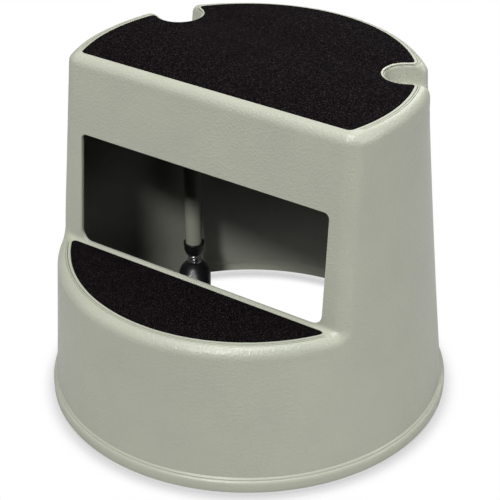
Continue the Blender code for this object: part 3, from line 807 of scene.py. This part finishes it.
class Nodes:
    """A material and short ways of adding nodes to it."""

    def __init__(self, name, roughness=0.5, metallic=0.0, specular=0.5):
        self.material = bpy.data.materials.new(name)
        self.material.use_nodes = True
        self.tree = self.material.node_tree
        self.shader = self.tree.nodes["Principled BSDF"]
        self.shader.inputs["Roughness"].default_value = roughness
        self.shader.inputs["Metallic"].default_value = metallic
        self.shader.inputs["Specular IOR Level"].default_value = specular
        self.place = self.tree.nodes.new("ShaderNodeTexCoord").outputs["Object"]

    def noise(self, size, detail=2.0, roughness=0.5):
        """Noise with features of a size in metres."""
        node = self.tree.nodes.new("ShaderNodeTexNoise")
        node.inputs["Scale"].default_value = 1.0 / size
        node.inputs["Detail"].default_value = detail
        node.inputs["Roughness"].default_value = roughness
        self.tree.links.new(self.place, node.inputs["Vector"])
        return node.outputs["Fac"]

    def cells(self, size):
        """Soft cells of a size in metres."""
        node = self.tree.nodes.new("ShaderNodeTexVoronoi")
        node.feature = "SMOOTH_F1"
        node.inputs["Scale"].default_value = 1.0 / size
        self.tree.links.new(self.place, node.inputs["Vector"])
        return node.outputs["Distance"]

    def ramp(self, value, stops):
        node = self.tree.nodes.new("ShaderNodeValToRGB")
        band = node.color_ramp
        while len(band.elements) < len(stops):
            band.elements.new(0.5)
        for element, (position, colour) in zip(band.elements, stops):
            element.position = position
            element.color = (*colour, 1.0)
        self.tree.links.new(value, node.inputs["Fac"])
        return node.outputs["Color"]

    def math(self, operation, a, b):
        node = self.tree.nodes.new("ShaderNodeMath")
        node.operation = operation
        for socket, value in zip(node.inputs, (a, b)):
            if isinstance(value, (int, float)):
                socket.default_value = value
            else:
                self.tree.links.new(value, socket)
        return node.outputs["Value"]

    def mix(self, share, first, second):
        node = self.tree.nodes.new("ShaderNodeMix")
        node.data_type = "RGBA"
        self.tree.links.new(share, node.inputs["Factor"])
        self.tree.links.new(first, node.inputs["A"])
        self.tree.links.new(second, node.inputs["B"])
        return node.outputs["Result"]

    def attribute(self, name):
        node = self.tree.nodes.new("ShaderNodeAttribute")
        node.attribute_name = name
        return node.outputs["Fac"]

    def bump(self, height, distance, strength, before=None):
        node = self.tree.nodes.new("ShaderNodeBump")
        node.inputs["Distance"].default_value = distance
        if isinstance(strength, (int, float)):
            node.inputs["Strength"].default_value = strength
        else:
            self.tree.links.new(strength, node.inputs["Strength"])
        self.tree.links.new(height, node.inputs["Height"])
        if before:
            self.tree.links.new(before, node.inputs["Normal"])
        return node.outputs["Normal"]

    def join(self, output, socket):
        self.tree.links.new(output, self.shader.inputs[socket])


def moulding_material(name, with_grain):
    """Pale plastic; with grain it is pebbled outside, and inside it is a little darker, a painted shade."""
    look = Nodes(name, 0.45, 0.0, 0.5)
    colour = look.ramp(look.noise(0.05, 3.0), [(0.3, srgb(166, 169, 154)), (0.7, srgb(171, 173, 158))])
    if with_grain:
        # painted shade: the cavity's faces get a darker colour that stands in for the dim light inside the
        # drum
        painted_shade_inside = look.ramp(look.noise(0.03, 3.0), [(0.3, srgb(144, 146, 134)), (0.7, srgb(152, 154, 142))])
        colour = look.mix(look.attribute("inside"), colour, painted_shade_inside)
    look.join(colour, "Base Color")
    look.join(look.ramp(look.noise(0.004), [(0.3, (0.29,) * 3), (0.7, (0.39,) * 3)]), "Roughness")
    pebbles = look.cells(0.0021)
    strength = look.math("MULTIPLY", look.attribute("grain"), 0.8) if with_grain else 0.12
    look.join(look.bump(pebbles, 0.0005, strength), "Normal")
    return look.material


def mat_material():
    """Black mat with lighter grit."""
    look = Nodes("gritty mat", 0.95, 0.0, 0.05)
    grit = look.noise(0.0013, 2.0, 0.65)
    tones = [(0.46, srgb(2, 1, 2)), (0.56, srgb(11, 8, 10)), (0.68, srgb(50, 43, 44))]
    look.join(look.ramp(grit, tones), "Base Color")
    look.join(look.bump(grit, 0.0006, 0.5), "Normal")
    return look.material


def plain_material(name, colour, roughness, metallic=0.0, grain=0.0015, spread=0.08):
    """Plastic or metal with a little variation in tone and gloss."""
    look = Nodes(name, roughness, metallic, 0.5)
    light = tuple(min(1.0, c * 1.15) for c in colour)
    look.join(look.ramp(look.noise(0.01, 3.0), [(0.3, colour), (0.7, light)]), "Base Color")
    gloss = [(0.3, (roughness - spread,) * 3), (0.7, (roughness + spread,) * 3)]
    look.join(look.ramp(look.noise(grain), gloss), "Roughness")
    look.join(look.bump(look.noise(grain), 0.0002, 0.15), "Normal")
    return look.material


moulding = moulding_material("pale grey-green moulding", True)
tube_plastic = moulding_material("pale tube", False)
gritty = mat_material()
black = plain_material("black plastic", srgb(24, 24, 26), 0.38)
steel = plain_material("bright steel", (0.62, 0.62, 0.62), 0.25, 1.0, 0.0006, 0.06)
tyre = plain_material("dark wheel", srgb(52, 52, 54), 0.55)


def paint(obj, material):
    """Give a piece one material."""
    obj.data.materials.clear()
    obj.data.materials.append(material)


paint(shell, moulding)
for piece in mats:
    paint(piece, gritty)
CASTER_FINISH = {"post": tube_plastic, "post_screw": steel, "guide_cup": black, "spring": steel,
                 "stem": steel, "stem_clip": steel, "spring_seat": steel, "hood": black, "axle": steel,
                 "left_wheel": tyre, "right_wheel": tyre}
for caster in CASTERS:
    for part, material in CASTER_FINISH.items():
        if part in caster_pieces[caster]:
            paint(caster_pieces[caster][part], material)
            continue
        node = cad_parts[caster + "_" + part]
        for one in node.material_slots:
            one.material = material

# ---- camera ----
CAMERA_PLACE = Vector((0.8953, -1.2733, 1.0965))
CAMERA_RIGHT = Vector((0.8210, 0.5709, -0.0064))
CAMERA_UP = Vector((-0.2870, 0.4223, 0.8598))
cam_data = bpy.data.cameras.new("camera")
cam_data.lens = 112.39
cam_data.sensor_width = 36.0
cam = in_scene("camera", cam_data)
back = CAMERA_RIGHT.cross(CAMERA_UP).normalized()
up = back.cross(CAMERA_RIGHT).normalized()
placement = Matrix((CAMERA_RIGHT.normalized(), up, back)).transposed().to_4x4()
placement.translation = CAMERA_PLACE
cam.matrix_world = placement
bpy.context.scene.camera = cam


# ---- floor and light ----
def floor_plane(name, z):
    """Stage floor at a height."""
    bm = bmesh.new()
    bmesh.ops.create_grid(bm, x_segments=2, y_segments=2, size=4.0)
    bmesh.ops.translate(bm, verts=bm.verts, vec=(0.0, 0.0, z))
    obj = bmesh_object(name, bm)
    return obj


# The floor that the camera sees: white, with a painted contact shadow where the object is near. It takes no
# part in the light.
seen = floor_plane("floor_seen", 0.0)
for ray in ("diffuse", "glossy", "transmission", "volume_scatter", "shadow"):
    setattr(seen, "visible_" + ray, False)
floor_material = bpy.data.materials.new("pale floor")
floor_material.use_nodes = True
tree = floor_material.node_tree
tree.nodes.clear()
out = tree.nodes.new("ShaderNodeOutputMaterial")
glow = tree.nodes.new("ShaderNodeEmission")
# painted shadow: ambient occlusion darkens the floor's white glow near the object
near = tree.nodes.new("ShaderNodeAmbientOcclusion")
near.samples = 8
near.inputs["Distance"].default_value = 0.024
curve = tree.nodes.new("ShaderNodeValToRGB")
band = curve.color_ramp
band.interpolation = "EASE"
band.elements[0].position, band.elements[0].color = 0.40, (0.45, 0.45, 0.45, 1.0)
band.elements[1].position, band.elements[1].color = 0.93, (1.0, 1.0, 1.0, 1.0)
tree.links.new(near.outputs["AO"], curve.inputs["Fac"])
tree.links.new(curve.outputs["Color"], glow.inputs["Color"])
tree.links.new(glow.outputs["Emission"], out.inputs["Surface"])
paint(seen, floor_material)


def stage_material(name, socket_values):
    """Material of a stage piece, from values for its shader's sockets."""
    material = bpy.data.materials.new(name)
    material.use_nodes = True
    for socket, value in socket_values.items():
        material.node_tree.nodes["Principled BSDF"].inputs[socket].default_value = value
    return material


# The floor that returns light to the object, just under the other, which the camera doesn't see.
under = floor_plane("floor_bounce", -0.001)
under.visible_camera = False
paint(under, stage_material("floor bounce", {"Base Color": (0.50, 0.50, 0.50, 1.0), "Roughness": 0.9}))

# The world is white for the camera and dim for everything else.
world = bpy.data.worlds.new("world")
bpy.context.scene.world = world
world.use_nodes = True
tree = world.node_tree
background = tree.nodes["Background"]
background.inputs["Color"].default_value = (1.0, 1.0, 1.0, 1.0)
path = tree.nodes.new("ShaderNodeLightPath")
brightness = tree.nodes.new("ShaderNodeMapRange")
brightness.inputs["To Min"].default_value = 0.05
brightness.inputs["To Max"].default_value = 1.0
tree.links.new(path.outputs["Is Camera Ray"], brightness.inputs["Value"])
tree.links.new(brightness.outputs["Result"], background.inputs["Strength"])


LIGHTS_LOOK_AT = Vector((0.0, 0.0, 0.2))
AREA_LIGHTS = (     # name, azimuth, elevation, distance, diameter, power
    ("left_fill", -65.0, 22.0, 2.6, 1.8, 4.5),
    ("right_fill", 105.0, 28.0, 2.6, 1.8, 20.0),
    ("back_fill", 185.0, 38.0, 2.6, 1.6, 22.0),
    ("overhead", 20.0, 80.0, 2.4, 1.6, 50.0),
)


def direction(azimuth, elevation):
    """Unit vector towards a light: azimuth 0 is in front of the stool, 90 on its right."""
    a, e = radians(azimuth), radians(elevation)
    return Vector((sin(a) * cos(e), -cos(a) * cos(e), sin(e)))


def aim(obj, azimuth, elevation, distance):
    """Put a light at a distance in a direction, looking at the stool."""
    obj.location = direction(azimuth, elevation) * distance + LIGHTS_LOOK_AT
    obj.rotation_euler = direction(azimuth, elevation).to_track_quat("Z", "Y").to_euler()


key_data = bpy.data.lights.new("key", "SUN")
key_data.energy = 1.78
key_data.angle = radians(7.0)
key = in_scene("key", key_data)
aim(key, 13.0, 44.2, 3.0)
for name, azimuth, elevation, distance, diameter, power in AREA_LIGHTS:
    area_data = bpy.data.lights.new(name, "AREA")
    area_data.shape = "DISK"
    area_data.size = diameter
    area_data.energy = power
    aim(in_scene(name, area_data), azimuth, elevation, distance)

# A black card in the window, which neither the camera nor the key light sees, keeps the other light out
# of the drum, as the photograph's inside is dark.
flag_points = [(x, RISER_TOP_Y - RISER_SLOPE * (TOP - z) + 0.0046, z)
               for x, z in window_outline(0.0020)]
flag = mesh_object("window_flag", flag_points, [range(len(flag_points))])
flag.visible_camera = False
paint(flag, stage_material("flag", {"Base Color": (0.0, 0.0, 0.0, 1.0), "Specular IOR Level": 0.0}))
blockers = bpy.data.collections.new("key_blockers")
blockers.objects.link(flag)
key.light_linking.blocker_collection = blockers
for held in blockers.collection_objects:
    held.light_linking.link_state = "EXCLUDE"

bpy.context.scene.view_settings.view_transform = "Standard"
